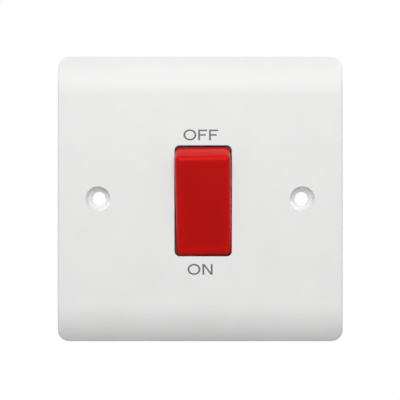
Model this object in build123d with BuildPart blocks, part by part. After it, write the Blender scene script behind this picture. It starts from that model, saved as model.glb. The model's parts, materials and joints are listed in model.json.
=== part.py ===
from build123d import *
from math import cos, radians, sin, tan
import os

os.makedirs("parts", exist_ok=True)

# Cooker switch: square wall plate, red rocker, and the double-pole mechanism behind it.
# Millimetres. +Z is up and the front faces -Y. The origin is the centre of the plate's rim,
# where it meets the wall. "Forward" heights are measured from the wall towards the front.

# Front plate
plate_width = 86.0
plate_height = 86.0
plate_depth = 7.5
plate_corner = 3.9
plate_draft = 7.0  # degrees, on all four sides
plate_wall = 2.5
rim_wall = 2.4
hollow_corner = 2.4
roll_height = 11.8  # how much of the front rolls back at the top and at the bottom
roll_drop = 4.6  # how far the roll falls back by the rim
edge_round = 0.7
opening_edge_round = 0.12

# Fixing holes
fixing_spacing = 60.3
fixing_bore_r = 2.05
fixing_rim_r = 3.7
fixing_seat_r = 3.0
fixing_recess = 1.5  # depth of the steep wall above the conical seat
fixing_boss_r = 4.6
fixing_boss_length = 1.5
rib_thickness = 1.6
rib_drop = 1.0  # the ribs stop this far short of the wall

# The mechanism sits a little right of and below the middle of the plate
mechanism_x = 0.87
mechanism_z = -0.6

# Rocker
pivot_depth = 5.7  # behind the front of the plate
rocker_width = 16.3
rocker_radius = 16.6  # the ends are round about the pivot
rocker_face = 8.55  # flat face to pivot
rocker_corner = 1.5
rocker_face_round = 1.8
rocker_wall = 1.9
rocker_skirt = 0.5  # the end walls run this far behind the pivot
rocker_throw = 20.0  # degrees, ON to OFF
rocker_skew = 0.85  # degrees, play that the pivots leave in the plane of the plate
side_clearance = 0.06
end_clearance = 0.7
yoke_r = 2.6
web_thickness = 1.8
web_half_length = 9.0
trunnion_r = 1.9
trunnion_length = 3.0
trunnion_clearance = 0.08

# Poles
pole_spacing = 20.0
socket_r = 3.6
socket_length = 8.0
socket_cap = 1.2  # thickness over the blind end of the socket
spring_seat = 0.6  # the blind end, forward of the pivot
plunger_r = 2.4
plunger_clearance = 0.1
plunger_reach = 10.5  # pivot to the centre of the round tip
plunger_top = 4.6  # pivot to the shoulder that the spring pushes on
spigot_r = 1.1
spigot_length = 2.0
spring_wire_r = 0.35
spring_wire_sides = 8
spring_coil_r = 1.85
spring_turns = 4.0
spring_seat_gap = 0.05

# Moving contacts, V-shaped and rocking on a round bead
blade_width = 7.0
blade_thickness = 1.4
blade_arm = 10.4
blade_throw = 20.0  # degrees, closed to open
bead_r = 1.5
bead_clearance = 0.05
tip_clearance = 0.15  # plunger tip to blade at mid throw
contact_arm = 8.6
contact_r = 2.2
contact_thickness = 1.0
contact_edge = 0.3
contact_gap = 0.05  # left between the closed contacts
fulcrum_half = 2.4
fulcrum_clearance = 0.25

# Terminals
strip_width = 7.0
strip_thickness = 1.5
strip_end_gap = 3.6  # between the two strips of a pole
terminal_width = 11.0
terminal_length = 11.0
terminal_depth = 12.0
terminal_start = 13.2  # inner end, from the pivot line
terminal_edge = 0.5
cable_r = 3.1
cable_depth = 9.5
cable_front_wall = 1.5
terminal_screw_r = 2.0
terminal_screw_inset = 5.2  # from the outer end of the terminal
terminal_screw_proud = 1.6
screw_back_off = 0.1  # the screw tip stands this far clear of the cable
slot_width = 0.9
slot_depth = 1.1
earth_width = 6.2
earth_cable_r = 2.2
earth_screw_r = 1.45
pocket_clearance = 0.1
thread_clearance = 0.03

# Rear housing
housing_wall = 2.0
housing_floor = 3.0
housing_front = 2.0  # forward height of its open rim
housing_corner = 2.5
housing_edge_round = 1.0
cover_thickness = 2.0
cover_front = -3.4  # forward height of the cover's front
cover_clearance = 0.2
post_thickness = 2.4
post_half_height = 4.0
post_mouth = 1.95  # how far the bearing posts reach forward of the pivot
pad_gap = 0.05
swing_clearance = 0.4
cable_entry_margin = 0.5
screw_access_margin = 0.7
core_wall = 2.0
foot_length = 3.0
foot_width = 8.0

# Housing screws, through ears into pillars behind the plate
ear_overhang = 3.2  # screw centres, beyond the housing's sides
ear_z = 15.0
ear_r = 3.6
ear_thickness = 2.5
ear_front = -1.5  # forward height of the ears' front
pillar_r = 3.2
pilot_r = 1.2
pilot_end_wall = 1.4
housing_screw_r = 1.15
housing_screw_hole_r = 1.5
housing_screw_head_r = 2.7
housing_screw_head = 1.8
housing_screw_edge = 0.6
housing_screw_tip_gap = 0.4

# Worked-out places
half_throw = rocker_throw / 2
blade_bend = blade_throw / 2
pivot_height = plate_depth - pivot_depth
plate_back = plate_depth - plate_wall
half_pole = pole_spacing / 2
skew_sin = sin(radians(rocker_skew))
skew_cos = cos(radians(rocker_skew))
throw_sin = sin(radians(half_throw))
throw_cos = cos(radians(half_throw))
bend_cos = cos(radians(blade_bend))
bend_sin = sin(radians(blade_bend))

socket_end = half_pole + socket_r
bearing_start = socket_end + swing_clearance
bearing_end = bearing_start + post_thickness
trunnion_end = socket_end + trunnion_length
bearing_r = trunnion_r + trunnion_clearance + bearing_end * skew_sin
opening_width = rocker_width + 2 * (side_clearance + rocker_radius * skew_sin)
opening_radius = rocker_radius + end_clearance

plunger_bore_r = plunger_r + plunger_clearance
half_blade = blade_thickness / 2
tip_rise = half_blade + (plunger_r + tip_clearance) / bend_cos
fulcrum_height = pivot_height - plunger_reach - tip_rise
blade_rear = fulcrum_height - half_blade
moving_tip_rear = blade_rear - contact_thickness
fixed_contact_front = moving_tip_rear - contact_gap
strip_front = fixed_contact_front - contact_thickness
strip_rear = strip_front - strip_thickness
fulcrum_front = blade_rear - fulcrum_clearance
load_strip_end = fulcrum_half + strip_end_gap

terminal_end = terminal_start + terminal_length
cable_height = strip_front + strip_thickness
terminal_front = cable_height + cable_r + cable_front_wall
terminal_rear = terminal_front - terminal_depth
screw_z = terminal_end - terminal_screw_inset
floor_rear = terminal_rear - housing_floor

cavity_half_x = max(trunnion_end, bearing_end) + cover_clearance
cavity_half_z = terminal_end + pocket_clearance
housing_half_x = cavity_half_x + housing_wall
housing_half_z = cavity_half_z + housing_wall
ear_x = housing_half_x + ear_overhang
cover_rear = cover_front - cover_thickness
post_front = pivot_height + post_mouth

poles = (("live", half_pole), ("neutral", -half_pole))
ear_points = [(x, z) for x in (-ear_x, ear_x) for z in (-ear_z, ear_z)]
bearing_points = [(side * (bearing_start + bearing_end) / 2, 0) for side in (-1, 1)]
fixing_points = [(side * fixing_spacing / 2, 0) for side in (-1, 1)]
terminal_middle = (terminal_start + terminal_end) / 2
terminal_points = [(x, z) for _, x in poles for z in (-terminal_middle, terminal_middle)]
screw_points = [(x, z) for _, x in poles for z in (-screw_z, screw_z)]


def front_plane(forward):
    """Plane parallel to the wall and centred on the plate."""
    return Plane.XZ.offset(forward)


def mechanism_plane(forward):
    """Plane parallel to the wall and centred on the mechanism."""
    return Plane(origin=(mechanism_x, -forward, mechanism_z), x_dir=(1, 0, 0), z_dir=(0, -1, 0))


def side_plane(x, forward):
    """Upright plane across the mechanism: its x runs forward and its y runs up."""
    return Plane(origin=(mechanism_x + x, -forward, mechanism_z), x_dir=(0, -1, 0), z_dir=(-1, 0, 0))


def level_plane(x, forward, z):
    """Level plane of the mechanism, facing up: its x runs right and its y runs back."""
    return Plane(origin=(mechanism_x + x, -forward, mechanism_z + z), x_dir=(1, 0, 0), z_dir=(0, 0, 1))


# The rocker's own frame at rest (ON): x along the pivot, y up its face, z out of its face
pivot_point = (mechanism_x, -pivot_height, mechanism_z)
rocker_normal = (skew_sin * throw_sin, -throw_cos, -skew_cos * throw_sin)
rocker_frame = Plane(origin=pivot_point, x_dir=(skew_cos, 0, skew_sin), z_dir=rocker_normal)
rocker_axis = Axis(rocker_frame.origin, rocker_frame.x_dir)
rocker_side = Plane(origin=pivot_point, x_dir=rocker_frame.z_dir, z_dir=-rocker_frame.x_dir)


def save(part, name):
    part.label = name
    export_step(part, f"parts/{name}.step")


# Front plate: drafted block, rolled back at the top and bottom, hollow behind
roll_radius = (roll_height**2 + roll_drop**2) / (2 * roll_drop)
roll_centre = plate_depth - roll_radius
flat_half = plate_height / 2 - roll_height


def rolled_section(inset):
    """Side section of the plate, or of its hollow: flat in front, a quarter turn at each end."""
    radius = roll_radius - inset
    right_side = Plane(origin=(plate_width, 0, 0), x_dir=(0, -1, 0), z_dir=(-1, 0, 0))
    with BuildSketch(right_side) as section:
        with BuildLine():
            top = CenterArc((roll_centre, flat_half), radius, 0, 90)
            bottom = CenterArc((roll_centre, -flat_half), radius, 0, -90)
            Line(top @ 0, bottom @ 0)
            Line(top @ 1, bottom @ 1)
        make_face()
    return section.sketch


with BuildPart() as plate_hollow:
    with BuildSketch(front_plane(0)):
        RectangleRounded(plate_width - 2 * rim_wall, plate_height - 2 * rim_wall, hollow_corner)
    extrude(amount=plate_depth, taper=plate_draft)
    extrude(rolled_section(plate_wall), amount=2 * plate_width, mode=Mode.INTERSECT)

with BuildPart() as rocker_opening:
    with BuildSketch(mechanism_plane(pivot_height)) as opening_outline:
        Rectangle(opening_width, opening_radius, align=(Align.CENTER, Align.MIN))
        fillet(opening_outline.vertices().group_by(Axis.Y)[-1], rocker_corner)
    revolve(axis=Axis(pivot_point, (1, 0, 0)))
    split(bisect_by=mechanism_plane(pivot_height), keep=Keep.TOP)

with BuildPart() as front_plate:
    with BuildSketch(front_plane(0)):
        RectangleRounded(plate_width, plate_height, plate_corner)
    extrude(amount=plate_depth, taper=plate_draft)
    extrude(rolled_section(0), amount=2 * plate_width, mode=Mode.INTERSECT)
    raised = front_plate.edges().filter_by(lambda edge: -edge.bounding_box().max.Y > edge_round)
    tangent_lines = raised.filter_by(Axis.X).filter_by(
        lambda edge: -edge.center().Y > plate_depth - edge_round
    )
    fillet(raised - tangent_lines, edge_round)
    add(plate_hollow.part, mode=Mode.SUBTRACT)
    # Bosses round the fixing holes, each with a rib out to the rim
    with BuildSketch(front_plane(plate_back - fixing_boss_length)):
        with Locations(*fixing_points):
            Circle(fixing_boss_r)
    extrude(amount=fixing_boss_length)
    rib_end = plate_width / 2 - rim_wall / 2 - plate_depth * tan(radians(plate_draft))
    rib_start = fixing_spacing / 2 + (fixing_rim_r + fixing_boss_r) / 2
    with BuildSketch(front_plane(rib_drop)):
        with Locations(*[(side * (rib_start + rib_end) / 2, 0) for side in (-1, 1)]):
            Rectangle(rib_end - rib_start, rib_thickness)
    extrude(amount=plate_back - rib_drop)
    # Pillars for the housing screws, and pads that close the rocker's bearings
    with BuildSketch(mechanism_plane(ear_front)):
        with Locations(*ear_points):
            Circle(pillar_r)
    extrude(amount=plate_back - ear_front)
    with BuildSketch(mechanism_plane(post_front + pad_gap)):
        with Locations(*bearing_points):
            Rectangle(post_thickness, 2 * post_half_height)
    extrude(amount=plate_back - post_front - pad_gap)
    with BuildSketch(mechanism_plane(ear_front)):
        with Locations(*ear_points):
            Circle(pilot_r)
    extrude(amount=plate_depth - pilot_end_wall - ear_front, mode=Mode.SUBTRACT)
    # Fixing holes: steep recess, conical seat, plain bore
    for x, z in fixing_points:
        with BuildSketch(Plane(origin=(x, 0, z), x_dir=(1, 0, 0), z_dir=(0, 0, 1))):
            with BuildLine():
                seat_end = fixing_recess + fixing_seat_r - fixing_bore_r
                Polyline(
                    (0, -plate_depth),
                    (fixing_rim_r, -plate_depth),
                    (fixing_seat_r, fixing_recess - plate_depth),
                    (fixing_bore_r, seat_end - plate_depth),
                    (fixing_bore_r, 0),
                    (0, 0),
                    close=True,
                )
            make_face()
        revolve(axis=Axis((x, 0, z), (0, 1, 0)), mode=Mode.SUBTRACT)
    add(rocker_opening.part, mode=Mode.SUBTRACT)
    front_face = front_plate.faces().filter_by(Axis.Y).sort_by(Axis.Y)[0]
    opening_wire = front_face.inner_wires().sort_by(lambda wire: wire.length)[-1]
    fillet(opening_wire.edges(), opening_edge_round)

# Rocker: a slice of a drum, flat in front, hollow behind, on a yoke with two plunger sockets
with BuildPart() as rocker_hollow:
    with BuildSketch(rocker_frame):
        Rectangle(
            rocker_width - 2 * rocker_wall, rocker_radius - rocker_wall, align=(Align.CENTER, Align.MIN)
        )
    revolve(axis=rocker_axis)
    split(bisect_by=rocker_frame.offset(rocker_face - rocker_wall), keep=Keep.BOTTOM)

with BuildPart() as rocker:
    with BuildSketch(rocker_frame) as drum_outline:
        Rectangle(rocker_width, rocker_radius, align=(Align.CENTER, Align.MIN))
        fillet(drum_outline.vertices().group_by(Axis.Y)[-1], rocker_corner)
    revolve(axis=rocker_axis)
    split(bisect_by=rocker_frame.offset(rocker_face), keep=Keep.BOTTOM)
    split(bisect_by=rocker_frame.offset(-rocker_skirt), keep=Keep.TOP)
    face_normal = Axis(rocker_frame.origin, rocker_frame.z_dir)
    fillet(rocker.faces().sort_by(face_normal)[-1].edges(), rocker_face_round)
    add(rocker_hollow.part, mode=Mode.SUBTRACT)
    with BuildSketch(rocker_frame):
        Rectangle(web_thickness, 2 * web_half_length)
    extrude(amount=rocker_face - rocker_wall)
    with BuildSketch(rocker_side):
        Circle(yoke_r)
    extrude(amount=socket_end, both=True)
    with BuildSketch(rocker_side):
        Circle(trunnion_r)
    extrude(amount=trunnion_end, both=True)
    with BuildSketch(rocker_frame.offset(-socket_length)):
        with Locations((-half_pole, 0), (half_pole, 0)):
            Circle(socket_r)
    extrude(amount=socket_length + spring_seat + socket_cap)
    with BuildSketch(rocker_frame.offset(-socket_length)):
        with Locations((-half_pole, 0), (half_pole, 0)):
            Circle(plunger_bore_r)
    extrude(amount=socket_length + spring_seat, mode=Mode.SUBTRACT)

# Rear housing: one deep moulding with a trough for each pole
trough_width = terminal_width + 2 * pocket_clearance
pocket_length = cavity_half_z - terminal_start + pocket_clearance
pocket_middle = (cavity_half_z + terminal_start - pocket_clearance) / 2

with BuildPart() as rear_housing:
    with BuildSketch(mechanism_plane(floor_rear)):
        RectangleRounded(2 * housing_half_x, 2 * housing_half_z, housing_corner)
    extrude(amount=housing_front - floor_rear)
    fillet(rear_housing.faces().sort_by(Axis.Y)[-1].edges(), housing_edge_round)
    with BuildSketch(mechanism_plane(ear_front - ear_thickness)):
        with Locations(*ear_points):
            Circle(ear_r)
        with Locations((0, -ear_z), (0, ear_z)):
            Rectangle(2 * ear_x, 2 * ear_r)
    extrude(amount=ear_thickness)
    with BuildSketch(mechanism_plane(ear_front - ear_thickness)):
        with Locations(*ear_points):
            Circle(housing_screw_hole_r)
    extrude(amount=ear_thickness, mode=Mode.SUBTRACT)
    # Open front, then the troughs, then the deeper terminal pockets
    with BuildSketch(mechanism_plane(cover_rear)):
        Rectangle(2 * cavity_half_x, 2 * cavity_half_z)
    extrude(amount=housing_front - cover_rear, mode=Mode.SUBTRACT)
    with BuildSketch(mechanism_plane(strip_rear)):
        with Locations(*[(x, 0) for _, x in poles]):
            Rectangle(trough_width, 2 * cavity_half_z)
    extrude(amount=cover_rear - strip_rear, mode=Mode.SUBTRACT)
    with BuildSketch(mechanism_plane(terminal_rear)):
        with Locations(*[(x, side * pocket_middle) for _, x in poles for side in (-1, 1)]):
            Rectangle(trough_width, pocket_length)
        with Locations((0, -pocket_middle)):
            Rectangle(earth_width + 2 * pocket_clearance, pocket_length)
    extrude(amount=cover_rear - terminal_rear, mode=Mode.SUBTRACT)
    # Screw access through the floor, and the hollows that core it out behind the strips
    with BuildSketch(mechanism_plane(floor_rear)):
        with Locations(*screw_points):
            Circle(terminal_screw_r + screw_access_margin)
        with Locations((0, -screw_z)):
            Circle(earth_screw_r + screw_access_margin)
    extrude(amount=housing_floor, mode=Mode.SUBTRACT)
    septum = 2 * half_pole - trough_width
    core_height = 2 * (terminal_start - core_wall)
    with BuildSketch(mechanism_plane(floor_rear)):
        with Locations(*[(x, 0) for _, x in poles]):
            Rectangle(trough_width, core_height)
        Rectangle(septum - 2 * core_wall, core_height)
    extrude(amount=strip_rear - core_wall - floor_rear, mode=Mode.SUBTRACT)
    # Cable entries in the end walls
    for side in (-1, 1):
        with BuildSketch(level_plane(0, cable_height, side * cavity_half_z)):
            with Locations(*[(x, 0) for _, x in poles]):
                Circle(cable_r + cable_entry_margin)
        extrude(amount=side * housing_wall, mode=Mode.SUBTRACT)
    with BuildSketch(level_plane(0, cable_height, -cavity_half_z)):
        Circle(earth_cable_r + cable_entry_margin)
    extrude(amount=-housing_wall, mode=Mode.SUBTRACT)

# Bearing cover: closes the troughs, holds the terminals down and carries the rocker
socket_swing = (pivot_height - cover_rear) * tan(radians(half_throw)) + socket_r / throw_cos
swing_half = socket_swing + swing_clearance

with BuildPart() as bearing_cover:
    with BuildSketch(mechanism_plane(cover_rear)):
        Rectangle(2 * (cavity_half_x - cover_clearance), 2 * (cavity_half_z - cover_clearance))
        with Locations(*[(x, 0) for _, x in poles]):
            Rectangle(2 * (socket_r + swing_clearance), 2 * swing_half, mode=Mode.SUBTRACT)
    extrude(amount=cover_thickness)
    with BuildSketch(mechanism_plane(cover_front)):
        with Locations(*bearing_points):
            Rectangle(post_thickness, 2 * post_half_height)
    extrude(amount=post_front - cover_front)
    with BuildSketch(side_plane(0, pivot_height)):
        Circle(bearing_r)
        Rectangle(2 * post_mouth, 2 * bearing_r, align=(Align.MIN, Align.CENTER))
    extrude(amount=bearing_end, both=True, mode=Mode.SUBTRACT)
    with BuildSketch(mechanism_plane(terminal_front)):
        with Locations(*terminal_points):
            Rectangle(foot_width, foot_length)
    extrude(amount=cover_rear - terminal_front)

save(front_plate.part, "front_plate")
save(rocker.part, "rocker")
save(rear_housing.part, "rear_housing")
save(bearing_cover.part, "bearing_cover")


def cut_cable_and_screw(x, side, bore_r, screw_r):
    """Sketches of a terminal's cable bore and of its screw hole."""
    with BuildSketch(level_plane(x, cable_height, side * terminal_end)) as bore:
        Circle(bore_r)
    with BuildSketch(mechanism_plane(terminal_rear)) as screw_hole:
        with Locations((x, side * screw_z)):
            Circle(screw_r + thread_clearance)
    return bore.sketch, screw_hole.sketch


# Each pole: terminals, fixed and moving contacts, plunger and spring
for pole, x in poles:
    # The supply terminal carries the fulcrum that the moving contact rocks on
    with BuildPart() as supply_terminal:
        with BuildSketch(mechanism_plane(terminal_rear)):
            with Locations((x, -terminal_middle)):
                Rectangle(terminal_width, terminal_length)
        extrude(amount=terminal_depth)
        chamfer(supply_terminal.edges(), terminal_edge)
        with BuildSketch(mechanism_plane(strip_rear)):
            with Locations((x, fulcrum_half)):
                Rectangle(strip_width, terminal_start + fulcrum_half, align=(Align.CENTER, Align.MAX))
        extrude(amount=strip_thickness)
        with BuildSketch(mechanism_plane(strip_front)):
            with Locations((x, 0)):
                Rectangle(strip_width, 2 * fulcrum_half)
        extrude(amount=fulcrum_front - strip_front)
        with BuildSketch(side_plane(x, fulcrum_height)):
            Circle(bead_r + bead_clearance)
        extrude(amount=strip_width, both=True, mode=Mode.SUBTRACT)
        bore, screw_hole = cut_cable_and_screw(x, -1, cable_r, terminal_screw_r)
        extrude(bore, amount=cable_depth, mode=Mode.SUBTRACT)
        extrude(screw_hole, amount=cable_height - terminal_rear, mode=Mode.SUBTRACT)
    save(supply_terminal.part, f"{pole}_supply_terminal")

    # The load terminal carries the fixed contact
    with BuildPart() as load_terminal:
        with BuildSketch(mechanism_plane(terminal_rear)):
            with Locations((x, terminal_middle)):
                Rectangle(terminal_width, terminal_length)
        extrude(amount=terminal_depth)
        chamfer(load_terminal.edges(), terminal_edge)
        with BuildSketch(mechanism_plane(strip_rear)):
            with Locations((x, load_strip_end)):
                Rectangle(strip_width, terminal_start - load_strip_end, align=(Align.CENTER, Align.MIN))
        extrude(amount=strip_thickness)
        bore, screw_hole = cut_cable_and_screw(x, 1, cable_r, terminal_screw_r)
        extrude(bore, amount=-cable_depth, mode=Mode.SUBTRACT)
        extrude(screw_hole, amount=cable_height - terminal_rear, mode=Mode.SUBTRACT)
    save(load_terminal.part, f"{pole}_load_terminal")

    with BuildPart() as fixed_contact:
        with BuildSketch(mechanism_plane(strip_front)):
            with Locations((x, contact_arm)):
                Circle(contact_r)
        extrude(amount=contact_thickness)
        chamfer(fixed_contact.faces().sort_by(Axis.Y)[0].edges(), contact_edge)
    save(fixed_contact.part, f"{pole}_fixed_contact")

    # Moving contact at rest: its upper arm lies flat against the fixed contact
    blade_frame = Plane(
        origin=side_plane(x, fulcrum_height).origin, x_dir=(0, -bend_cos, bend_sin), z_dir=(-1, 0, 0)
    )
    with BuildPart() as moving_contact:
        with BuildSketch(blade_frame):
            Circle(bead_r)
            front_apex = (half_blade / bend_cos, 0)
            rear_apex = (-half_blade / bend_cos, 0)
            arm = Vector(blade_arm * bend_sin, blade_arm * bend_cos)
            thick = Vector(half_blade * bend_cos, -half_blade * bend_sin)
            front_upper = arm + thick
            rear_upper = arm - thick
            front_lower = Vector(front_upper.X, -front_upper.Y)
            rear_lower = Vector(rear_upper.X, -rear_upper.Y)
            with BuildLine():
                Polyline(front_upper, front_apex, front_lower, rear_lower, rear_apex, rear_upper, close=True)
            make_face()
            with BuildLine():
                Polyline(front_upper, front_apex, front_lower, close=True)
            make_face(mode=Mode.SUBTRACT)
        extrude(amount=blade_width / 2, both=True)
    save(moving_contact.part, f"{pole}_moving_contact")

    with BuildPart() as moving_tip:
        with BuildSketch(mechanism_plane(moving_tip_rear)):
            with Locations((x, contact_arm)):
                Circle(contact_r)
        extrude(amount=contact_thickness)
        chamfer(moving_tip.faces().sort_by(Axis.Y)[-1].edges(), contact_edge)
    save(moving_tip.part, f"{pole}_moving_tip")

    # Plunger and spring, in the rocker's socket
    socket_origin = rocker_frame.from_local_coords(Vector(x, 0, 0))
    socket_plane = Plane(origin=socket_origin, x_dir=rocker_frame.x_dir, z_dir=-rocker_frame.y_dir)
    with BuildPart() as plunger:
        with BuildSketch(socket_plane):
            with BuildLine():
                side = Polyline(
                    (0, spigot_length - plunger_top),
                    (spigot_r, spigot_length - plunger_top),
                    (spigot_r, -plunger_top),
                    (plunger_r, -plunger_top),
                    (plunger_r, -plunger_reach),
                )
                tip = CenterArc((0, -plunger_reach), plunger_r, 0, -90)
                Line(tip @ 1, side @ 0)
            make_face()
        revolve(axis=Axis(socket_origin, rocker_frame.z_dir))
    save(plunger.part, f"{pole}_plunger")

    spring_inset = spring_wire_r + spring_seat_gap
    spring_height = spring_seat + plunger_top - 2 * spring_inset
    spring_origin = rocker_frame.from_local_coords(Vector(x, 0, spring_inset - plunger_top))
    with BuildPart() as plunger_spring:
        with BuildLine():
            pitch = spring_height / spring_turns
            coil = Helix(pitch, spring_height, spring_coil_r, spring_origin, rocker_frame.z_dir)
        with BuildSketch(Plane(origin=coil @ 0, z_dir=coil % 0)):
            RegularPolygon(spring_wire_r, spring_wire_sides)
        sweep(path=coil, is_frenet=True)
    save(plunger_spring.part, f"{pole}_plunger_spring")

with BuildPart() as earth_terminal:
    with BuildSketch(mechanism_plane(terminal_rear)):
        with Locations((0, -terminal_middle)):
            Rectangle(earth_width, terminal_length)
    extrude(amount=terminal_depth)
    chamfer(earth_terminal.edges(), terminal_edge)
    bore, screw_hole = cut_cable_and_screw(0, -1, earth_cable_r, earth_screw_r)
    extrude(bore, amount=cable_depth, mode=Mode.SUBTRACT)
    extrude(screw_hole, amount=cable_height - terminal_rear, mode=Mode.SUBTRACT)
save(earth_terminal.part, "earth_terminal")


# Terminal screws, backed out clear of the cables
with BuildPart() as terminal_screws:
    with BuildSketch(mechanism_plane(terminal_rear - terminal_screw_proud)):
        with Locations(*screw_points):
            Circle(terminal_screw_r)
    extrude(amount=cable_height - cable_r - screw_back_off - terminal_rear + terminal_screw_proud)
    with BuildSketch(mechanism_plane(terminal_rear - terminal_screw_proud)):
        with Locations(*screw_points):
            Rectangle(2 * terminal_screw_r, slot_width)
    extrude(amount=slot_depth, mode=Mode.SUBTRACT)
save(terminal_screws.part, "terminal_screws")

with BuildPart() as earth_screw:
    with BuildSketch(mechanism_plane(terminal_rear - terminal_screw_proud)):
        with Locations((0, -screw_z)):
            Circle(earth_screw_r)
    extrude(amount=cable_height - earth_cable_r - screw_back_off - terminal_rear + terminal_screw_proud)
    with BuildSketch(mechanism_plane(terminal_rear - terminal_screw_proud)):
        with Locations((0, -screw_z)):
            Rectangle(2 * earth_screw_r, slot_width)
    extrude(amount=slot_depth, mode=Mode.SUBTRACT)
save(earth_screw.part, "earth_screw")

ear_rear = ear_front - ear_thickness
screw_tip = plate_depth - pilot_end_wall - housing_screw_tip_gap
with BuildPart() as housing_screws:
    with BuildSketch(mechanism_plane(ear_rear)):
        with Locations(*ear_points):
            Circle(housing_screw_r)
    extrude(amount=screw_tip - ear_rear)
    with BuildSketch(mechanism_plane(ear_rear)):
        with Locations(*ear_points):
            Circle(housing_screw_head_r)
    extrude(amount=-housing_screw_head)
    chamfer(housing_screws.faces().group_by(Axis.Y)[-1].edges(), housing_screw_edge)
save(housing_screws.part, "housing_screws")
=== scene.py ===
"""Looks of a cooker switch: finishes, printed marks, screw detail and a plain studio."""
import json
from math import cos, pi, radians, sin, tau

import bmesh
import bpy
from bpy.props import FloatProperty, FloatVectorProperty, IntProperty, PointerProperty
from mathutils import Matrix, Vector


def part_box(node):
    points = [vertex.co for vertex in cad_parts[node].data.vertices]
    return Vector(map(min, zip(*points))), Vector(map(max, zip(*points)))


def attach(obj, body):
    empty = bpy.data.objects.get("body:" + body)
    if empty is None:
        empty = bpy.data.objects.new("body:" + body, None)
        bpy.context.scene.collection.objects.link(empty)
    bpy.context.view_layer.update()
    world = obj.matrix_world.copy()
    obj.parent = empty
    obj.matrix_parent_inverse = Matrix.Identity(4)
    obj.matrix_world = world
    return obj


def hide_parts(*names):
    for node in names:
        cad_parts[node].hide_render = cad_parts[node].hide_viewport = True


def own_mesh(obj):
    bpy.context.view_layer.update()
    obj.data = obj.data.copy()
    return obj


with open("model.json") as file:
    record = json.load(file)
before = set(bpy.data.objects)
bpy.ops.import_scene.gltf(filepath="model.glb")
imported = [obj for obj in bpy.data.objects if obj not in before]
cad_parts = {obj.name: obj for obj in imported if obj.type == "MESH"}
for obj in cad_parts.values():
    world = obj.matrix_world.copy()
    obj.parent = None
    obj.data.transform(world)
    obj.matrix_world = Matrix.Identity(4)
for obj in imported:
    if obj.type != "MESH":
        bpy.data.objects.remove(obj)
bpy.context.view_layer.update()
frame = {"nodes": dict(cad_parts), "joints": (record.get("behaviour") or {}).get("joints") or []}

bl_info = {
    "name": "Cooker switch looks",
    "version": (1, 0, 0),
    "blender": (4, 5, 0),
    "location": "3D View > Sidebar > Switch",
    "description": "Dresses a cooker switch with its finishes, marks and screws, and lights it",
    "category": "Object",
}

MM = 0.001

# Places and directions of the switch, taken from the frame
PLATE_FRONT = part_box("front_plate")[0].y
POLES = ("live", "neutral")
JOINTS = {joint["name"]: joint for joint in frame["joints"]}
ROCKER_PIVOT = Vector(JOINTS["rocker_hinge"]["pos_m"])
ROCKER_ACROSS = Vector(JOINTS["rocker_hinge"]["axis"])
ROCKER_OUT = Vector(JOINTS["live_plunger_slide"]["axis"])
ROCKER_UP = ROCKER_OUT.cross(ROCKER_ACROSS)

# Height of moulding grain and of scratches
RELIEF_DEPTH = 0.004 * MM

# How strongly the plastics bend light
PLASTIC_IOR = 1.5

# Where most values of a noise texture lie
NOISE_SPAN = (0.3, 0.7)

# Inputs of the worked metal, and the last word of the settings that they take
METAL_INPUTS = {
    "Color": "colour",
    "Tarnish Color": "tarnish",
    "Tarnish": "dulling",
    "Roughness": "roughness",
}

# Degrees up the side of a pan head, from its flat top to its rim
HEAD_TURNS = (80, 70, 58, 45, 30, 15, 0)

# How far the cross-shaped cutter stands out of a head
CUTTER_RISE = 0.2 * MM


def length(name, description, millimetres):
    """A length property, given in millimetres."""
    return FloatProperty(
        name=name, description=description, default=millimetres * MM, unit="LENGTH", precision=5
    )


def spot(name, description, right, up):
    """A spot on the plate, given in millimetres right of and above the plate's middle."""
    return FloatVectorProperty(
        name=name, description=description, default=(right * MM, up * MM), size=2,
        unit="LENGTH", precision=5,
    )


def angle(name, description, degrees):
    """An angle property, given in degrees."""
    return FloatProperty(name=name, description=description, default=radians(degrees), subtype="ANGLE")


def power(name, description, watts):
    """The power of a lamp, given in watts."""
    return FloatProperty(name=name, description=description, default=watts, unit="POWER")


def colour(name, description, value):
    """A linear colour property."""
    return FloatVectorProperty(
        name=name, description=description, default=value, subtype="COLOR", size=4, min=0, max=1
    )


def share(name, description, value):
    """A plain share from 0 to 1."""
    return FloatProperty(
        name=name, description=description, default=value, min=0, max=1, subtype="FACTOR"
    )


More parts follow.
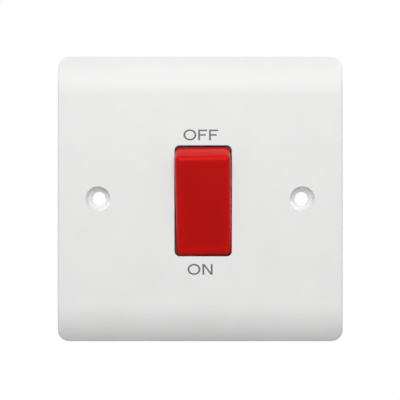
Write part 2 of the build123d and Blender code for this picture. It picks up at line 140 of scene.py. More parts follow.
class FinishSettings(bpy.types.PropertyGroup):
    """Colours and gloss of the switch's materials, and the painted light on the rocker's ends and sides.
    """

    plate_colour: colour("Plate", "White of the moulded front plate", (0.83, 0.83, 0.825, 1))
    plate_roughness: share("Plate roughness", "Gloss of the front plate, low is shiny", 0.46)
    plate_shine: share("Plate shine", "Strength of the front plate's reflections", 0.3)
    rocker_colour: colour("Rocker", "Red of the moulded rocker", (0.488, 0.008, 0.007, 1))
    # Painted light: a brighter red painted towards the rocker's ends and sides, a painted highlight
    # standing in for light on its rounded edges
    rocker_painted_light: colour(
        "Rocker edges", "Brighter red where light passes the rocker's edges", (0.64, 0.008, 0.006, 1)
    )
    rocker_bounce: colour("Rocker bounce", "Rocker as the plate beside it sees it", (0.45, 0.3, 0.3, 1))
    rocker_roughness: share("Rocker roughness", "Gloss of the rocker, low is shiny", 0.34)
    rocker_shine: share("Rocker shine", "Strength of the rocker's reflections", 0.28)
    rocker_sheen: colour("Rocker sheen", "Tint of the rocker's reflections", (1, 0.15, 0.13, 1))
    face_half_length: length("Rocker half length", "Middle of the rocker's face to either end", 14.2)
    face_half_width: length("Rocker half width", "Middle of the rocker's face to either side", 8.15)
    # Reach and fade of the painted highlight on the rocker's ends and sides
    painted_light_reach: length("Edge reach", "How far the brighter red reaches in from the rocker's edges", 3.6)
    painted_light_falloff: FloatProperty(
        name="Edge falloff", description="How fast the brighter red fades inwards, 1 is even",
        default=2.2, min=1,
    )
    housing_colour: colour("Housing", "Grey of the rear housing and its cover", (0.52, 0.52, 0.5, 1))
    housing_roughness: share("Housing roughness", "Gloss of the housing, low is shiny", 0.55)
    plunger_colour: colour("Plunger", "Natural nylon of the plungers", (0.72, 0.69, 0.6, 1))
    plunger_roughness: share("Plunger roughness", "Gloss of the plungers, low is shiny", 0.45)
    brass_colour: colour("Brass", "Terminals", (0.72, 0.5, 0.2, 1))
    brass_tarnish: colour("Brass tarnish", "Duller patches on the terminals", (0.42, 0.26, 0.1, 1))
    brass_dulling: share("Brass dulling", "Strength of the brass's duller patches", 0.45)
    brass_roughness: share("Brass roughness", "Gloss of the brass, low is shiny", 0.28)
    copper_colour: colour("Copper", "Moving contacts", (0.72, 0.34, 0.2, 1))
    copper_tarnish: colour("Copper tarnish", "Duller patches on the contacts", (0.4, 0.17, 0.1, 1))
    copper_dulling: share("Copper dulling", "Strength of the copper's duller patches", 0.5)
    copper_roughness: share("Copper roughness", "Gloss of the copper, low is shiny", 0.3)
    silver_colour: colour("Silver", "Contact buttons", (0.82, 0.8, 0.76, 1))
    silver_tarnish: colour("Silver tarnish", "Duller patches on the buttons", (0.5, 0.46, 0.4, 1))
    silver_dulling: share("Silver dulling", "Strength of the silver's duller patches", 0.35)
    silver_roughness: share("Silver roughness", "Gloss of the silver, low is shiny", 0.25)
    zinc_colour: colour("Zinc", "Plating of the screws and springs", (0.66, 0.66, 0.64, 1))
    zinc_tarnish: colour("Zinc tarnish", "Yellowish patches on the plating", (0.55, 0.5, 0.38, 1))
    zinc_dulling: share("Zinc dulling", "Strength of the zinc's yellowish patches", 0.4)
    zinc_roughness: share("Zinc roughness", "Gloss of the zinc, low is shiny", 0.3)


class MarkSettings(bpy.types.PropertyGroup):
    """The printed ON and OFF marks."""

    cap_height: length("Cap height", "Height of the straight letters", 3.15)
    overshoot: length("Overshoot", "How far the round letter passes the straight ones", 0.05)
    stem: length("Stem", "Width of the upright strokes", 0.55)
    bar: length("Bar", "Width of the level strokes", 0.46)
    round_width: length("Round width", "Width of the letter O", 3.82)
    f_width: length("F width", "Width of the letter F", 2.65)
    f_middle: length("F middle", "Length of the F's middle bar, from its left side", 2.25)
    n_width: length("N width", "Width of the letter N", 3.03)
    n_slant: length("N slant", "Width of the N's slanted stroke, measured level and upright", 0.66)
    letter_gap: length("Letter gap", "Space between letters", 0.55)
    ink_thickness: length("Ink thickness", "How far the print stands out of the plate", 0.015)
    off_middle: spot("OFF place", "Middle of the word OFF on the plate, right and up", 0.15, 18.86)
    on_middle: spot("ON place", "Middle of the word ON on the plate, right and up", -0.03, -20.8)
    ink_colour: colour("Ink", "Grey of the printed marks", (0.16, 0.165, 0.17, 1))
    ink_roughness: share("Ink roughness", "Gloss of the ink, low is shiny", 0.5)
    ink_shine: share("Ink shine", "Strength of the ink's reflections", 0.3)


class ScrewSettings(bpy.types.PropertyGroup):
    """Threads, slots and cross recesses of the screws."""

    clamp_radius: length("Clamp screw radius", "Outside radius of the terminal screws", 2.0)
    clamp_pitch: length("Clamp screw pitch", "Thread pitch of the terminal screws", 0.7)
    earth_radius: length("Earth screw radius", "Outside radius of the earth screw", 1.45)
    earth_pitch: length("Earth screw pitch", "Thread pitch of the earth screw", 0.5)
    thread_depth: length("Thread depth", "Crest to root of the threads", 0.28)
    slot_width: length("Slot width", "Width of the driver slot", 0.9)
    slot_depth: length("Slot depth", "Depth of the driver slot", 1.1)
    head_radius: length("Head radius", "Radius of the housing screws' pan heads", 2.7)
    head_height: length("Head height", "Height of the pan heads", 1.8)
    head_flat: length("Head flat", "Radius of the flat on top of the pan heads", 0.945)
    head_curve: share("Head curve", "Roundness of the pan heads' sides, 1 is a half ball", 0.4)
    shank_radius: length("Shank radius", "Radius of the housing screws", 1.15)
    shank_pitch: length("Shank pitch", "Thread pitch of the housing screws", 0.9)
    neck: length("Neck", "Plain shank between a pan head and its thread", 0.05)
    cross_length: length("Cross length", "Tip to tip of the cross recess at the head's top", 2.7)
    cross_foot: length("Cross foot", "Tip to tip of the cross recess at its bottom", 0.96)
    cross_width: length("Cross width", "Width of each arm of the cross recess", 0.6)
    cross_depth: length("Cross depth", "Depth of the cross recess", 1.15)
    segments: IntProperty(name="Segments", description="Facets round a screw", default=40, min=12)


class StageSettings(bpy.types.PropertyGroup):
    """Camera, lamps, floor and surroundings."""

    camera_distance: length("Camera distance", "From the plate's front face", 285)
    camera_right: length("Camera right", "Camera right of the plate's middle", -0.06)
    camera_up: length("Camera up", "Camera above the plate's middle", -0.34)
    lens: FloatProperty(
        name="Lens", description="Focal length in millimetres", default=86.95, subtype="DISTANCE_CAMERA"
    )
    softbox_distance: length("Softbox distance", "Each softbox to the plate", 630)
    softbox_width: length("Softbox width", "Side of each softbox", 420)
    key_power: power("Key power", "Power of the front softbox", 3.14)
    key_height: angle("Key height", "Front softbox above the level", 27)
    rear_power: power("Rear power", "Power of each softbox behind the plate", 2.4)
    rear_turn: angle("Rear turn", "Rear softboxes, to either side of straight behind", 42)
    rear_height: angle("Rear height", "Rear softboxes above the level", 24)
    front_glow: share("Front glow", "Brightness of the room behind the camera", 0.22)
    side_glow: share("Side glow", "Brightness of the room round the sides", 0.7)
    low_share: share("Low share", "How bright the room is below, against above", 0.42)
    high_share: share("High share", "How bright the room is overhead, against level", 0.48)
    rear_share: share("Rear share", "How bright the room is behind the plate, against beside it", 0.4)
    floor_drop: length("Floor drop", "Floor below the plate's middle", 105)
    floor_radius: length("Floor radius", "Reach of the floor", 240)
    floor_solid: share("Floor solid", "Share of the floor's radius where it starts to fade", 0.45)
    floor_clear: share("Floor clear", "Share of the floor's radius where it has faded out", 0.95)
    floor_colour: colour("Floor", "Pale floor, as the camera sees it", (0.74, 0.74, 0.74, 1))
    floor_bounce: colour("Floor bounce", "Floor as the object sees it", (0.3, 0.3, 0.3, 1))
    floor_roughness: share("Floor roughness", "Gloss of the floor, low is shiny", 0.8)


# Building blocks of the materials


def feed(tree, socket, value):
    """Gives an input its number or colour, or links it to an output."""
    if isinstance(value, bpy.types.NodeSocket):
        tree.links.new(value, socket)
    else:
        socket.default_value = value


def new_group(name, inputs, outputs):
    """An empty shader group with named sockets, with its input and output nodes."""
    group = bpy.data.node_groups.new(name, "ShaderNodeTree")
    for label, kind, default in inputs:
        group.interface.new_socket(label, in_out="INPUT", socket_type=kind).default_value = default
    for label, kind in outputs:
        group.interface.new_socket(label, in_out="OUTPUT", socket_type=kind)
    return group, group.nodes.new("NodeGroupInput"), group.nodes.new("NodeGroupOutput")


def surface_place(tree):
    """Coordinates of a surface point on its own object."""
    return tree.nodes.new("ShaderNodeTexCoord").outputs["Object"]


def noise(tree, vector, scale, detail):
    """A noise texture on the given coordinates."""
    texture = tree.nodes.new("ShaderNodeTexNoise")
    texture.inputs["Detail"].default_value = detail
    feed(tree, texture.inputs["Vector"], vector)
    feed(tree, texture.inputs["Scale"], scale)
    return texture.outputs["Fac"]


def remap(tree, value, span, new_span, smooth=False):
    """A value stretched from one span to another and held at the ends."""
    node = tree.nodes.new("ShaderNodeMapRange")
    node.interpolation_type = "SMOOTHSTEP" if smooth else "LINEAR"
    feed(tree, node.inputs["Value"], value)
    for label, end in zip(("From Min", "From Max", "To Min", "To Max"), (*span, *new_span)):
        feed(tree, node.inputs[label], end)
    return node.outputs["Result"]


def combine(tree, operation, *values):
    """One step of arithmetic."""
    node = tree.nodes.new("ShaderNodeMath")
    node.operation = operation
    for socket, value in zip(node.inputs, values):
        feed(tree, socket, value)
    return node.outputs["Value"]


def combine_vectors(tree, operation, inputs):
    """One step of vector arithmetic, with its inputs by number or name; gives its outputs."""
    node = tree.nodes.new("ShaderNodeVectorMath")
    node.operation = operation
    for label, value in inputs.items():
        feed(tree, node.inputs[label], value)
    return node.outputs


def mix_colours(tree, factor, first, second):
    """Two colours mixed by a factor."""
    node = tree.nodes.new("ShaderNodeMix")
    node.data_type = "RGBA"
    feed(tree, node.inputs["Factor"], factor)
    for socket, value in zip([s for s in node.inputs if s.type == "RGBA"], (first, second)):
        feed(tree, socket, value)
    return next(s for s in node.outputs if s.type == "RGBA")


def moulded_group():
    """Moulded plastic: faint cloudy tint, fine grain in gloss and height."""
    grain_span = (0.2, 0.8)
    speckle_span = (0.99, 1.01)
    group, given, made = new_group(
        "Moulded surface",
        [
            ("Color", "NodeSocketColor", (0.8, 0.8, 0.8, 1)),
            ("Cloud", "NodeSocketFloat", 0.02),
            ("Cloud Scale", "NodeSocketFloat", 90.0),
            ("Grain Scale", "NodeSocketFloat", 3000.0),
            ("Roughness", "NodeSocketFloat", 0.4),
            ("Roughness Spread", "NodeSocketFloat", 0.06),
        ],
        [("Color", "NodeSocketColor"), ("Roughness", "NodeSocketFloat"), ("Height", "NodeSocketFloat")],
    )
    place = surface_place(group)
    cloud = noise(group, place, given.outputs["Cloud Scale"], detail=4)
    grain = noise(group, place, given.outputs["Grain Scale"], detail=2)

    dark = combine(group, "SUBTRACT", 1.0, given.outputs["Cloud"])
    pale = combine(group, "ADD", 1.0, given.outputs["Cloud"])
    tint = remap(group, cloud, NOISE_SPAN, (dark, pale))
    speckle = remap(group, grain, grain_span, speckle_span)
    shade = combine(group, "MULTIPLY", tint, speckle)
    shaded = combine_vectors(group, "SCALE", {0: given.outputs["Color"], "Scale": shade})
    feed(group, made.inputs["Color"], shaded["Vector"])

    low = combine(group, "SUBTRACT", given.outputs["Roughness"], given.outputs["Roughness Spread"])
    high = combine(group, "ADD", given.outputs["Roughness"], given.outputs["Roughness Spread"])
    average = combine(group, "MULTIPLY", combine(group, "ADD", cloud, grain), 0.5)
    feed(group, made.inputs["Roughness"], remap(group, average, NOISE_SPAN, (low, high)))
    feed(group, made.inputs["Height"], grain)
    return group


def metal_group():
    """Worked metal: dull patches, fine scratches along one direction."""
    scratch_stretch = (1.0, 0.12, 1.0)
    patch_span = (0.42, 0.68)
    patch_roughness = 0.22
    streak_span = (-0.06, 0.06)
    group, given, made = new_group(
        "Worked metal",
        [
            ("Color", "NodeSocketColor", (0.7, 0.7, 0.7, 1)),
            ("Tarnish Color", "NodeSocketColor", (0.4, 0.4, 0.4, 1)),
            ("Tarnish", "NodeSocketFloat", 0.5),
            ("Patch Scale", "NodeSocketFloat", 350.0),
            ("Scratch Scale", "NodeSocketFloat", 1500.0),
            ("Roughness", "NodeSocketFloat", 0.3),
        ],
        [("Color", "NodeSocketColor"), ("Roughness", "NodeSocketFloat"), ("Height", "NodeSocketFloat")],
    )
    place = surface_place(group)
    stretch = group.nodes.new("ShaderNodeMapping")
    stretch.inputs["Scale"].default_value = scratch_stretch
    feed(group, stretch.inputs["Vector"], place)
    patch = noise(group, place, given.outputs["Patch Scale"], detail=5)
    scratch = noise(group, stretch.outputs["Vector"], given.outputs["Scratch Scale"], detail=3)

    patches = remap(group, patch, patch_span, (0.0, 1.0), smooth=True)
    mask = combine(group, "MULTIPLY", patches, given.outputs["Tarnish"])
    tint = mix_colours(group, mask, given.outputs["Color"], given.outputs["Tarnish Color"])
    feed(group, made.inputs["Color"], tint)

    dulling = combine(group, "MULTIPLY", mask, patch_roughness)
    worn = combine(group, "ADD", given.outputs["Roughness"], dulling)
    streaks = remap(group, scratch, NOISE_SPAN, streak_span)
    feed(group, made.inputs["Roughness"], combine(group, "ADD", worn, streaks))
    feed(group, made.inputs["Height"], scratch)
    return group


def shared_group(name, builder):
    """The named group, built the first time that it is asked for."""
    return bpy.data.node_groups.get(name) or builder()


def surface_material(name, group, values, bump_strength, constants):
    """A material with one Principled shader fed by a shared group.

    The values go to the group, and the constants on the shader's own sockets.
    """
    material = bpy.data.materials.new(name)
    material.use_nodes = True
    tree = material.node_tree
    shader = tree.nodes["Principled BSDF"]
    effect = tree.nodes.new("ShaderNodeGroup")
    effect.node_tree = group
    for label, value in values.items():
        effect.inputs[label].default_value = value
    bump = tree.nodes.new("ShaderNodeBump")
    bump.inputs["Distance"].default_value = RELIEF_DEPTH
    bump.inputs["Strength"].default_value = bump_strength
    tree.links.new(effect.outputs["Color"], shader.inputs["Base Color"])
    tree.links.new(effect.outputs["Roughness"], shader.inputs["Roughness"])
    tree.links.new(effect.outputs["Height"], bump.inputs["Height"])
    tree.links.new(bump.outputs["Normal"], shader.inputs["Normal"])
    for label, value in constants.items():
        shader.inputs[label].default_value = value
    return material


def plastic(
    name, tint, roughness, grain_scale=3000.0, cloud=0.015, bump=0.25, shine=0.5, sheen=(1, 1, 1, 1)
):
    """A moulded plastic; the sheen colours its reflections."""
    return surface_material(
        name,
        shared_group("Moulded surface", moulded_group),
        {"Color": tint, "Roughness": roughness, "Grain Scale": grain_scale, "Cloud": cloud},
        bump,
        {"IOR": PLASTIC_IOR, "Specular IOR Level": shine, "Specular Tint": sheen},
    )


def metal(name, finish, kind, bump=0.3):
    """A worked metal, with the finish settings of its kind."""
    return surface_material(
        name,
        shared_group("Worked metal", metal_group),
        {label: getattr(finish, f"{kind}_{setting}") for label, setting in METAL_INPUTS.items()},
        bump,
        {"Metallic": 1.0},
    )


def reach_from(tree, origin, direction):
    """Distance of a surface point from an origin, measured along a direction, either way."""
    offset = combine_vectors(tree, "SUBTRACT", {0: surface_place(tree), 1: origin})
    along = combine_vectors(tree, "DOT_PRODUCT", {0: offset["Vector"], 1: direction})
    return combine(tree, "ABSOLUTE", along["Value"])


def paint_edge_light(material, finish):
    """Painted light: makes the rocker's red brighter towards its ends and sides, a painted highlight of
    the light on its rounded edges.
    """
    tree = material.node_tree
    base = tree.nodes["Principled BSDF"].inputs["Base Color"]
    plain = base.links[0].from_socket
    painted_light_masks = []
    for direction, half in (
        (ROCKER_UP, finish.face_half_length),
        (ROCKER_ACROSS, finish.face_half_width),
    ):
        reach = reach_from(tree, ROCKER_PIVOT, direction)
        ramp = remap(tree, reach, (half - finish.painted_light_reach, half), (0.0, 1.0))
        painted_light_masks.append(combine(tree, "POWER", ramp, finish.painted_light_falloff))
    # Mask of the painted highlight, strongest at the rocker's ends and sides
    mask = combine(tree, "MAXIMUM", *painted_light_masks)
    feed(tree, base, mix_colours(tree, mask, plain, list(finish.rocker_painted_light)))


def soften_bounce(material, pale):
    """Light thrown on by a surface takes a paler colour, so that little of its tint spills."""
    tree = material.node_tree
    base = tree.nodes["Principled BSDF"].inputs["Base Color"]
    bounced = tree.nodes.new("ShaderNodeLightPath").outputs["Is Diffuse Ray"]
    feed(tree, base, mix_colours(tree, bounced, base.links[0].from_socket, list(pale)))


def dress(material, *nodes):
    """Gives CAD nodes a material."""
    for node in nodes:
        slots = frame["nodes"][node].data.materials
        slots.clear()
        slots.append(material)


# Building blocks of the meshes


def add_object(name, data):
    """A new object in the scene."""
    made = bpy.data.objects.new(name, data)
    bpy.context.scene.collection.objects.link(made)
    return made


def closed_mesh(name, fill):
    """A mesh made by a function that fills a bmesh with closed solids."""
    mesh = bpy.data.meshes.new(name)
    shape = bmesh.new()
    fill(shape)
    bmesh.ops.recalc_face_normals(shape, faces=shape.faces)
    shape.to_mesh(mesh)
    shape.free()
    return mesh


def new_piece(name, fill, material, body):
    """A piece of closed solids that rides on a body."""
    mesh = closed_mesh(name, fill)
    mesh.materials.append(material)
    piece = add_object(name, mesh)
    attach(piece, body)
    return piece


def cut_away(piece, fill):
    """Cuts closed solids out of a piece for good."""
    cutter = add_object("cutter", closed_mesh("cutter", fill))
    knife = piece.modifiers.new("recess", "BOOLEAN")
    knife.operation = "DIFFERENCE"
    knife.solver = "EXACT"
    knife.object = cutter
    bpy.context.view_layer.update()
    done = piece.evaluated_get(bpy.context.evaluated_depsgraph_get())
    cut = bpy.data.meshes.new_from_object(done)
    piece.modifiers.clear()
    piece.data = cut
    bpy.data.objects.remove(cutter)


def bridge(shape, first, second):
    """A band of faces between two closed loops with as many points."""
    for i in range(len(first)):
        shape.faces.new((first[i - 1], first[i], second[i], second[i - 1]))


def add_prism(shape, outline, back, front):
    """A thin solid with a flat outline on the plate, given as right and up."""
    rear = [shape.verts.new((x, back, z)) for x, z in outline]
    fore = [shape.verts.new((x, front, z)) for x, z in outline]
    caps = [shape.faces.new(fore), shape.faces.new(rear[::-1])]
    for cap in caps:
        cap.normal_update()
    bmesh.ops.triangulate(shape, faces=caps, ngon_method="EAR_CLIP")
    bridge(shape, rear, fore)


def add_ring(shape, middle, outer, inner, back, front, segments=72):
    """A flat oval ring; outer and inner are half widths, right and up."""
    loops = []
    for half, y in ((outer, front), (outer, back), (inner, back), (inner, front)):
        loop = []
        for i in range(segments):
            turn = tau * i / segments
            x = middle[0] + half[0] * cos(turn)
            z = middle[1] + half[1] * sin(turn)
            loop.append(shape.verts.new((x, y, z)))
        loops.append(loop)
    for first, second in zip(loops, loops[1:] + loops[:1]):
        bridge(shape, first, second)


def letter_f(marks, left, base):
    """Outline of an F."""
    top = base + marks.cap_height
    middle_top = base + (marks.cap_height + marks.bar) / 2
    right = left + marks.f_width
    stem = left + marks.stem
    return [
        (left, base), (stem, base), (stem, middle_top - marks.bar),
        (left + marks.f_middle, middle_top - marks.bar), (left + marks.f_middle, middle_top),
        (stem, middle_top), (stem, top - marks.bar), (right, top - marks.bar), (right, top), (left, top),
    ]


def letter_n(marks, left, base):
    """Outline of an N."""
    top = base + marks.cap_height
    right = left + marks.n_width
    return [
        (left, base), (left + marks.stem, base), (left + marks.stem, top - marks.n_slant),
        (right - marks.n_slant, base), (right, base), (right, top), (right - marks.stem, top),
        (right - marks.stem, base + marks.n_slant), (left + marks.n_slant, top), (left, top),
    ]


def write_word(shape, marks, word, middle):
    """The letters of a word, side by side round its middle."""
    widths = {"O": marks.round_width, "F": marks.f_width, "N": marks.n_width}
    straight = {"F": letter_f, "N": letter_n}
    left = middle[0] - (sum(widths[c] for c in word) + marks.letter_gap * (len(word) - 1)) / 2
    base = middle[1] - marks.cap_height / 2
    front = PLATE_FRONT - marks.ink_thickness
    for letter in word:
        if letter in straight:
            add_prism(shape, straight[letter](marks, left, base), PLATE_FRONT, front)
        else:
            half = (marks.round_width / 2, marks.cap_height / 2 + marks.overshoot)
            inner = (half[0] - marks.stem, half[1] - marks.bar)
            add_ring(shape, (left + half[0], middle[1]), half, inner, PLATE_FRONT, front)
        left += widths[letter] + marks.letter_gap


def add_lathe(shape, middle, rows, segments):
    """A closed turned solid along Y.

    Each row is a place along Y and a radius, or a function that gives the radius at a share of a turn.
    """
    rings = []
    for y, radius in rows:
        ring = []
        for i in range(segments):
            r = radius(i / segments) if callable(radius) else radius
            turn = tau * i / segments
            ring.append(shape.verts.new((middle[0] + r * cos(turn), y, middle[1] + r * sin(turn))))
        rings.append(ring)
    for first, second in zip(rings, rings[1:]):
        bridge(shape, first, second)
    shape.faces.new(rings[0])
    shape.faces.new(rings[-1][::-1])


def thread_rows(start, end, radius, pitch, depth, steps_per_turn=10, flank_gain=1.4):
    """Rows of a helical thread along Y, fading out to the core at both ends.

    A flank gain above 1 makes the flanks steeper and flattens the crests.
    """
    reach = abs(end - start)
    count = max(2, round(reach / pitch * steps_per_turn))
    rows = []
    for i in range(count + 1):
        along = reach * i / count
        fade = min(1.0, along / pitch, (reach - along) / pitch)

        def ridge(turn, along=along, fade=fade):
            phase = (along / pitch - turn) % 1.0
            crest = 1 - abs(2 * phase - 1)
            return radius - depth + depth * fade * min(1.0, flank_gain * crest)

        rows.append((start + (end - start) * i / count, ridge))
    return rows


def add_block(shape, low, high):
    """A box between two corners."""
    made = bmesh.ops.create_cube(shape, size=1.0)
    for vert in made["verts"]:
        vert.co = Vector((high[i] if vert.co[i] > 0 else low[i]) for i in range(3))


def add_cross(shape, middle, top, bottom, top_reach, bottom_reach, half_width):
    """A tapered cross-shaped plug, pointing into the head."""
    rings = []
    for y, reach in ((top, top_reach), (bottom, bottom_reach)):
        outline = []
        for quarter in range(4):
            turn = quarter * pi / 2
            for out, side in ((reach, -half_width), (reach, half_width), (half_width, half_width)):
                x = out * cos(turn) - side * sin(turn)
                z = out * sin(turn) + side * cos(turn)
                outline.append(shape.verts.new((middle[0] + x, y, middle[1] + z)))
        rings.append(outline)
    bridge(shape, *rings)
    shape.faces.new(rings[0])
    shape.faces.new(rings[1][::-1])


def corner_middles(node, radius):
    """Middles of four like screws at the corners of a node's box, right and up."""
    low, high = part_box(node)
    return [(x, z) for x in (low.x + radius, high.x - radius) for z in (low.z + radius, high.z - radius)]


# The steps, in the order in which they run


class SWITCH_OT_finish_plastics(bpy.types.Operator):
    """Give the mouldings their plastics"""

    bl_idname = "switch_looks.finish_plastics"
    bl_label = "Finish the plastics"

    def execute(self, context):
        finish = context.scene.switch_finish
        white = plastic(
            "plate_white", finish.plate_colour, finish.plate_roughness, shine=finish.plate_shine
        )
        dress(white, "front_plate")
        red = plastic(
            "rocker_red", finish.rocker_colour, finish.rocker_roughness, cloud=0.02,
            shine=finish.rocker_shine, sheen=finish.rocker_sheen,
        )
        # Painted light: brighter red towards the rocker's ends and sides
        paint_edge_light(red, finish)
        soften_bounce(red, finish.rocker_bounce)
        dress(red, "rocker")
        grey = plastic(
            "housing_grey", finish.housing_colour, finish.housing_roughness,
            grain_scale=2200.0, cloud=0.04, bump=0.6,
        )
        dress(grey, "rear_housing", "bearing_cover")
        nylon = plastic("plunger_nylon", finish.plunger_colour, finish.plunger_roughness, cloud=0.03)
        dress(nylon, *[f"{pole}_plunger" for pole in POLES])
        return {"FINISHED"}


class SWITCH_OT_finish_metals(bpy.types.Operator):
    """Give the terminals, contacts, screws and springs their metals"""

    bl_idname = "switch_looks.finish_metals"
    bl_label = "Finish the metals"

    def execute(self, context):
        finish = context.scene.switch_finish
        brass = metal("terminal_brass", finish, "brass")
        copper = metal("contact_copper", finish, "copper")
        silver = metal("contact_silver", finish, "silver")
        zinc = metal("zinc_plate", finish, "zinc")
        dress(brass, "earth_terminal")
        dress(zinc, "terminal_screws", "earth_screw", "housing_screws")
        for pole in POLES:
            dress(brass, f"{pole}_supply_terminal", f"{pole}_load_terminal")
            dress(copper, f"{pole}_moving_contact")
            dress(silver, f"{pole}_fixed_contact", f"{pole}_moving_tip")
            dress(zinc, f"{pole}_plunger_spring")
        return {"FINISHED"}


class SWITCH_OT_print_marks(bpy.types.Operator):
    """Print ON and OFF on the plate"""

    bl_idname = "switch_looks.print_marks"
    bl_label = "Print the marks"

    def print_word(self, marks, ink, name, word, middle):
        """One word on the plate."""
        def letters(shape):
            write_word(shape, marks, word, middle)

        new_piece(name, letters, ink, "switch_body")

    def execute(self, context):
        marks = context.scene.switch_marks
        ink = plastic(
            "mark_ink", marks.ink_colour, marks.ink_roughness, grain_scale=6000.0, cloud=0.05,
            shine=marks.ink_shine,
        )
        self.print_word(marks, ink, "off_mark", "OFF", marks.off_middle)
        self.print_word(marks, ink, "on_mark", "ON", marks.on_middle)
        return {"FINISHED"}


class SWITCH_OT_cut_screws(bpy.types.Operator):
    """Replace the plain screws by threaded ones with driver recesses"""

    bl_idname = "switch_looks.cut_screws"
    bl_label = "Cut the screws"

    def clamp(self, screws, name, node, middles, radius, pitch):
        """Slotted clamp screws in place of a node."""
        low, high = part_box(node)

        def turned(shape):
            for middle in middles:
                rows = thread_rows(high.y, low.y, radius, pitch, screws.thread_depth)
                add_lathe(shape, middle, rows, screws.segments)

        # The slot cutters pass the sides and the top of the screws
        def slots(shape):
            for x, z in middles:
                add_block(
                    shape,
                    (x - 2 * radius, high.y - screws.slot_depth, z - screws.slot_width / 2),
                    (x + 2 * radius, high.y + screws.slot_depth, z + screws.slot_width / 2),
                )

        piece = new_piece(name, turned, bpy.data.materials["zinc_plate"], "switch_body")
        cut_away(piece, slots)
        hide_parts(node)

    def pan_heads(self, screws, name, node):
        """Threaded pan-head screws with cross recesses in place of a node."""
        low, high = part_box(node)
        middles = corner_middles(node, screws.head_radius)
        seat = high.y - screws.head_height

        def turned(shape):
            rows = [(high.y, screws.head_flat)]
            for turn in map(radians, HEAD_TURNS):
                below_top = screws.head_height * (1 - sin(turn))
                rows.append((high.y - below_top, screws.head_radius * cos(turn) ** screws.head_curve))
            rows.append((seat, screws.shank_radius))
            rows += thread_rows(
                seat - screws.neck, low.y, screws.shank_radius, screws.shank_pitch, screws.thread_depth
            )
            for middle in middles:
                add_lathe(shape, middle, rows, screws.segments)

        def crosses(shape):
            for middle in middles:
                add_cross(
                    shape, middle, high.y + CUTTER_RISE, high.y - screws.cross_depth,
                    screws.cross_length / 2, screws.cross_foot / 2, screws.cross_width / 2,
                )

        piece = new_piece(name, turned, bpy.data.materials["zinc_plate"], "switch_body")
        cut_away(piece, crosses)
        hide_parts(node)

    def execute(self, context):
        screws = context.scene.switch_screws
        self.clamp(
            screws, "clamp_screws", "terminal_screws",
            corner_middles("terminal_screws", screws.clamp_radius),
            screws.clamp_radius, screws.clamp_pitch,
        )
        low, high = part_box("earth_screw")
        self.clamp(
            screws, "earth_clamp_screw", "earth_screw",
            [((low.x + high.x) / 2, (low.z + high.z) / 2)],
            screws.earth_radius, screws.earth_pitch,
        )
        self.pan_heads(screws, "pan_head_screws", "housing_screws")
        return {"FINISHED"}


class SWITCH_OT_fit_springs(bpy.types.Operator):
    """Fit copies of the plunger springs that ride on the rocker"""

    bl_idname = "switch_looks.fit_springs"
    bl_label = "Fit the springs"

    def execute(self, context):
        for pole in POLES:
            node = f"{pole}_plunger_spring"
            coil = add_object(f"{pole}_coil", frame["nodes"][node].data.copy())
            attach(coil, "rocker_body")
            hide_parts(node)
            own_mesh(coil)
        return {"FINISHED"}


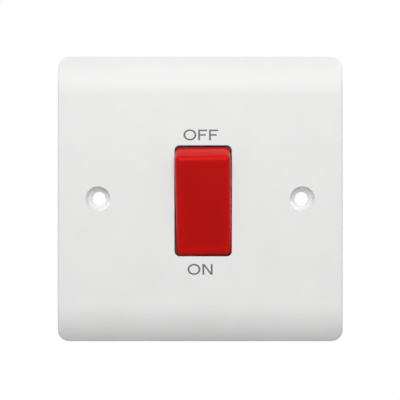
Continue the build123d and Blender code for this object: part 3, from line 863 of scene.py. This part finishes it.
class SWITCH_OT_set_stage(bpy.types.Operator):
    """Set up the camera, lamps, floor and surroundings"""

    bl_idname = "switch_looks.set_stage"
    bl_label = "Set the stage"

    def surroundings(self, scene, stage):
        """A white backdrop behind the object, a soft room round it, and a dim room behind the camera.

        A direction's depth runs from -1, straight in front of the plate, to 1, straight behind it,
        and its height from -1, straight down, to 1, straight up. Each span says where the room
        changes from one level to the next.
        """
        front_span = (-0.92, -0.55)
        rear_span = (0.0, 0.5)
        low_span = (-0.4, 0.3)
        high_span = (0.35, 0.85)
        backdrop_span = (0.0, 0.25)
        world = bpy.data.worlds.new("studio")
        world.use_nodes = True
        scene.world = world
        tree = world.node_tree
        tree.nodes.clear()
        output = tree.nodes.new("ShaderNodeOutputWorld")
        mixer = tree.nodes.new("ShaderNodeMixShader")
        room = tree.nodes.new("ShaderNodeBackground")
        backdrop = tree.nodes.new("ShaderNodeBackground")
        backdrop.inputs["Color"].default_value = (1, 1, 1, 1)
        direction = tree.nodes.new("ShaderNodeSeparateXYZ")
        tree.links.new(tree.nodes.new("ShaderNodeTexCoord").outputs["Generated"], direction.inputs[0])
        depth = direction.outputs["Y"]
        height = direction.outputs["Z"]

        glow = remap(tree, depth, front_span, (stage.front_glow, stage.side_glow), smooth=True)
        rise = remap(tree, height, low_span, (stage.low_share, 1.0), smooth=True)
        crown = remap(tree, height, high_span, (1.0, stage.high_share), smooth=True)
        fall = remap(tree, depth, rear_span, (1.0, stage.rear_share), smooth=True)
        level = combine(tree, "MULTIPLY", glow, rise)
        dimming = combine(tree, "MULTIPLY", crown, fall)
        tree.links.new(combine(tree, "MULTIPLY", level, dimming), room.inputs["Color"])

        path = tree.nodes.new("ShaderNodeLightPath").outputs
        seen_in_gloss = combine(tree, "MAXIMUM", path["Is Glossy Ray"], path["Is Transmission Ray"])
        behind = remap(tree, depth, backdrop_span, (0.0, 1.0), smooth=True)
        reflected = combine(tree, "MULTIPLY", seen_in_gloss, behind)
        tree.links.new(combine(tree, "MAXIMUM", path["Is Camera Ray"], reflected), mixer.inputs[0])
        tree.links.new(room.outputs[0], mixer.inputs[1])
        tree.links.new(backdrop.outputs[0], mixer.inputs[2])
        tree.links.new(mixer.outputs[0], output.inputs["Surface"])

    def floor_material(self, stage):
        """A pale finish that fades out at the floor's edge, and is clear from below."""
        mottle_scale = 60.0
        mottle_span = (0.96, 1.0)
        material = bpy.data.materials.new("pale_floor")
        material.use_nodes = True
        tree = material.node_tree
        shader = tree.nodes["Principled BSDF"]
        shader.inputs["Roughness"].default_value = stage.floor_roughness
        place = surface_place(tree)
        mottle = remap(tree, noise(tree, place, mottle_scale, detail=3), NOISE_SPAN, mottle_span)
        seen = tree.nodes.new("ShaderNodeLightPath").outputs["Is Camera Ray"]
        shade = combine(tree, "MULTIPLY", seen, mottle)
        tint = mix_colours(tree, shade, list(stage.floor_bounce), list(stage.floor_colour))
        tree.links.new(tint, shader.inputs["Base Color"])

        from_middle = combine_vectors(tree, "LENGTH", {0: place})["Value"]
        fade_span = (stage.floor_solid * stage.floor_radius, stage.floor_clear * stage.floor_radius)
        edge = remap(tree, from_middle, fade_span, (0.0, 1.0), smooth=True)
        below = tree.nodes.new("ShaderNodeNewGeometry").outputs["Backfacing"]
        clear = tree.nodes.new("ShaderNodeBsdfTransparent")
        mixer = tree.nodes.new("ShaderNodeMixShader")
        tree.links.new(combine(tree, "MAXIMUM", edge, below), mixer.inputs[0])
        tree.links.new(shader.outputs[0], mixer.inputs[1])
        tree.links.new(clear.outputs[0], mixer.inputs[2])
        tree.links.new(mixer.outputs[0], tree.nodes["Material Output"].inputs["Surface"])
        return material

    def floor(self, stage, segments=96):
        """A round floor under the plate."""
        mesh = bpy.data.meshes.new("floor")
        shape = bmesh.new()
        bmesh.ops.create_circle(shape, cap_ends=True, radius=stage.floor_radius, segments=segments)
        shape.to_mesh(mesh)
        shape.free()
        mesh.materials.append(self.floor_material(stage))
        floor = add_object("floor", mesh)
        floor.location.z = -stage.floor_drop

    def softbox(self, stage, name, lamp_power, turn, height):
        """A square lamp aimed at the plate; its turn is from straight in front, to the right."""
        data = bpy.data.lights.new(name, "AREA")
        data.shape = "SQUARE"
        data.size = stage.softbox_width
        data.energy = lamp_power
        lamp = add_object(name, data)
        level = stage.softbox_distance * cos(height)
        rise = stage.softbox_distance * sin(height)
        lamp.location = (level * sin(turn), PLATE_FRONT - level * cos(turn), rise)
        aim = Vector((0, PLATE_FRONT, 0)) - lamp.location
        lamp.rotation_euler = aim.to_track_quat("-Z", "Y").to_euler()

    def camera(self, scene, stage):
        """A level camera in front of the plate."""
        data = bpy.data.cameras.new("camera")
        data.lens = stage.lens
        camera = add_object("camera", data)
        camera.location = (stage.camera_right, PLATE_FRONT - stage.camera_distance, stage.camera_up)
        camera.rotation_euler = (pi / 2, 0, 0)
        scene.camera = camera

    def execute(self, context):
        scene = context.scene
        stage = scene.switch_stage
        scene.view_settings.view_transform = "Standard"
        self.surroundings(scene, stage)
        self.floor(stage)
        self.softbox(stage, "key_softbox", stage.key_power, 0.0, stage.key_height)
        for side, turn in (("right", -stage.rear_turn), ("left", stage.rear_turn)):
            self.softbox(stage, f"rear_softbox_{side}", stage.rear_power, pi + turn, stage.rear_height)
        self.camera(scene, stage)
        return {"FINISHED"}


OPERATORS = (
    SWITCH_OT_finish_plastics,
    SWITCH_OT_finish_metals,
    SWITCH_OT_print_marks,
    SWITCH_OT_cut_screws,
    SWITCH_OT_fit_springs,
    SWITCH_OT_set_stage,
)
SETTINGS = {
    "switch_finish": FinishSettings,
    "switch_marks": MarkSettings,
    "switch_screws": ScrewSettings,
    "switch_stage": StageSettings,
}


class SWITCH_PT_looks(bpy.types.Panel):
    """The switch's looks, one button for each step"""

    bl_idname = "SWITCH_PT_looks"
    bl_label = "Cooker switch"
    bl_space_type = "VIEW_3D"
    bl_region_type = "UI"
    bl_category = "Switch"

    def draw(self, context):
        for operator in OPERATORS:
            self.layout.operator(operator.bl_idname)
        for name, group in SETTINGS.items():
            box = self.layout.box()
            for prop in group.__annotations__:
                box.prop(getattr(context.scene, name), prop)


CLASSES = (*SETTINGS.values(), *OPERATORS, SWITCH_PT_looks)


def register():
    for cls in CLASSES:
        bpy.utils.register_class(cls)
    for name, group in SETTINGS.items():
        setattr(bpy.types.Scene, name, PointerProperty(type=group))


def unregister():
    for name in SETTINGS:
        delattr(bpy.types.Scene, name)
    for cls in reversed(CLASSES):
        bpy.utils.unregister_class(cls)


def main():
    register()
    bpy.ops.switch_looks.finish_plastics()
    bpy.ops.switch_looks.finish_metals()
    bpy.ops.switch_looks.print_marks()
    bpy.ops.switch_looks.cut_screws()
    bpy.ops.switch_looks.fit_springs()
    bpy.ops.switch_looks.set_stage()


if __name__ == "__main__":
    main()
